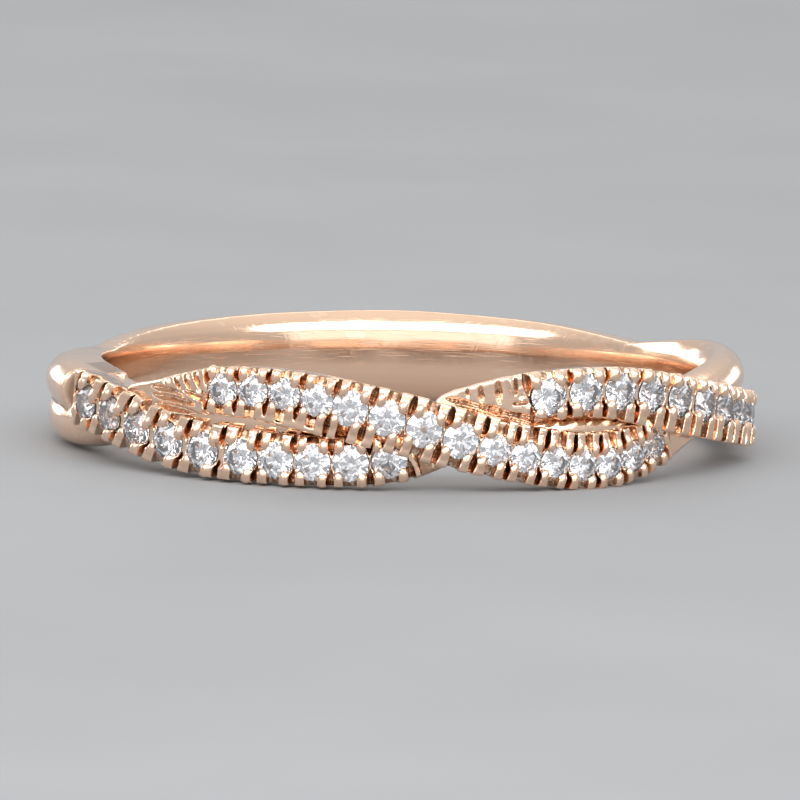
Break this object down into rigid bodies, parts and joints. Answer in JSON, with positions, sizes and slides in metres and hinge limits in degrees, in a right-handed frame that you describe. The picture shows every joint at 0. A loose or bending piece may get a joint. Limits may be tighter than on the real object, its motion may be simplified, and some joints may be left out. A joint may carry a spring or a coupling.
{
  "type": "twisted rope ring",
  "caption": "Finger ring whose front is two twisted strands set with small round brilliants, on a plain domed shank.",
  "frame": {"origin": "centre of the finger hole, half way up the twist", "axes": "+Z along the finger hole, -Y to the middle of the twisted front, +X to the right of a viewer who faces the front"},
  "size_m": [0.0202, 0.0202, 0.0034],
  "materials": {
    "rose_gold": "polished rose gold",
    "stone": "clear cut stone"
  },
  "bodies": {
    "root": {"band": "rose_gold", "stone_1": "stone", "stone_2": "stone", "stone_3": "stone", "stone_4": "stone", "stone_5": "stone", "stone_6": "stone", "stone_7": "stone", "stone_8": "stone", "stone_9": "stone", "stone_10": "stone", "stone_11": "stone", "stone_12": "stone", "stone_13": "stone", "stone_14": "stone", "stone_15": "stone", "stone_16": "stone", "stone_17": "stone", "stone_18": "stone", "stone_19": "stone", "stone_20": "stone", "stone_21": "stone", "stone_22": "stone", "stone_23": "stone", "stone_24": "stone", "stone_25": "stone", "stone_26": "stone", "stone_27": "stone", "stone_28": "stone", "stone_29": "stone", "stone_30": "stone", "stone_31": "stone", "stone_32": "stone", "stone_33": "stone", "stone_34": "stone"}
  },
  "joints": []
}
